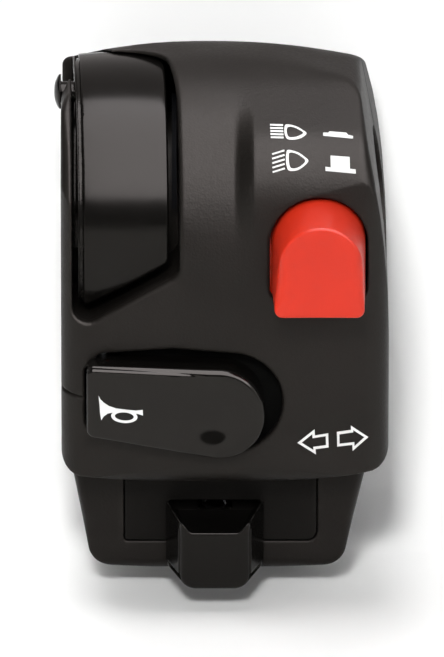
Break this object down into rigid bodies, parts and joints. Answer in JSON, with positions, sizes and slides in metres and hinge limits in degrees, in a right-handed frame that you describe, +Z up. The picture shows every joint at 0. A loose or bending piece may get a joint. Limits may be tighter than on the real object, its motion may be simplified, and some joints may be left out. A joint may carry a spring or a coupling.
{
  "type": "handlebar switch cluster",
  "caption": "Left-hand motorbike switch cluster: split casing clamped round the handlebar, with a choke lever, a push light button, a horn paddle and a sliding turn signal knob.",
  "frame": {"origin": "on the handlebar's axis, half way along the casing", "axes": "X along the handlebar (+X to the rider's right), Y forward and away from the rider (the buttons are on -Y), +Z up"},
  "size_m": [0.0491, 0.0566, 0.0786],
  "materials": {
    "casing": "fine-grained matt black-brown",
    "casing_rear": "fine-grained matt black-brown",
    "lever": "glossy black",
    "horn": "glossy black",
    "knob": "satin black",
    "panel": "matt black",
    "red_button": "satin red",
    "pale_plastic": "moulded natural",
    "board": "pressed phenolic board",
    "brass": "plain",
    "steel": "zinc plated",
    "spring_steel": "drawn",
    "rubber": "matt"
  },
  "bodies": {
    "casing": {"front_shell": "casing", "rear_shell": "casing_rear", "clamp_screws": "steel", "thread_inserts": "brass", "choke_friction_spring": "spring_steel", "choke_cable_guide": "brass", "light_spring": "spring_steel", "light_latch_pin": "spring_steel", "light_switch_base": "board", "light_terminals": "brass", "horn_pivot_pin": "steel", "horn_spring": "spring_steel", "horn_contact_blade": "brass", "horn_contact_base": "board", "horn_terminals": "brass", "turn_panel": "panel", "turn_detent_plate": "spring_steel", "turn_contact_board": "board", "turn_terminals": "brass", "board_screws": "steel", "wire_grommet": "rubber"},
    "choke": {"choke_lever": "lever"},
    "light": {"light_button": "red_button", "light_plunger": "pale_plastic", "light_contact_bridge": "brass"},
    "horn": {"horn_button": "horn"},
    "carriage": {"turn_carriage": "panel", "turn_cancel_spring": "spring_steel", "turn_detent_ball": "steel", "turn_detent_spring": "spring_steel", "turn_contact_bridge": "brass"},
    "knob": {"turn_knob": "knob"}
  },
  "joints": [
    {"name": "choke_turn", "type": "hinge", "parent": "casing", "child": "choke", "pos_m": [0, 0, 0], "axis": [-1, 0, 0], "range_deg": [0, 35]},
    {"name": "light_push", "type": "slide", "parent": "casing", "child": "light", "axis": [0, 1, 0], "range_m": [0, 0.003], "stiffness_N_per_m": 600, "springref_m": -0.003, "deforming": ["light_spring"]},
    {"name": "horn_rock", "type": "hinge", "parent": "casing", "child": "horn", "pos_m": [-0.0182, -0.0204, -0.0217], "axis": [0, 0, 1], "range_deg": [0, 5.5], "stiffness_Nm_per_rad": 0.3, "springref_deg": -5.73, "deforming": ["horn_spring"]},
    {"name": "turn_slide", "type": "slide", "parent": "casing", "child": "carriage", "axis": [1, 0, 0], "range_m": [-0.004, 0.004]},
    {"name": "cancel_push", "type": "slide", "parent": "carriage", "child": "knob", "axis": [0, 1, 0], "range_m": [0, 0.0012], "stiffness_N_per_m": 1000, "springref_m": -0.001, "deforming": ["turn_cancel_spring"]}
  ]
}
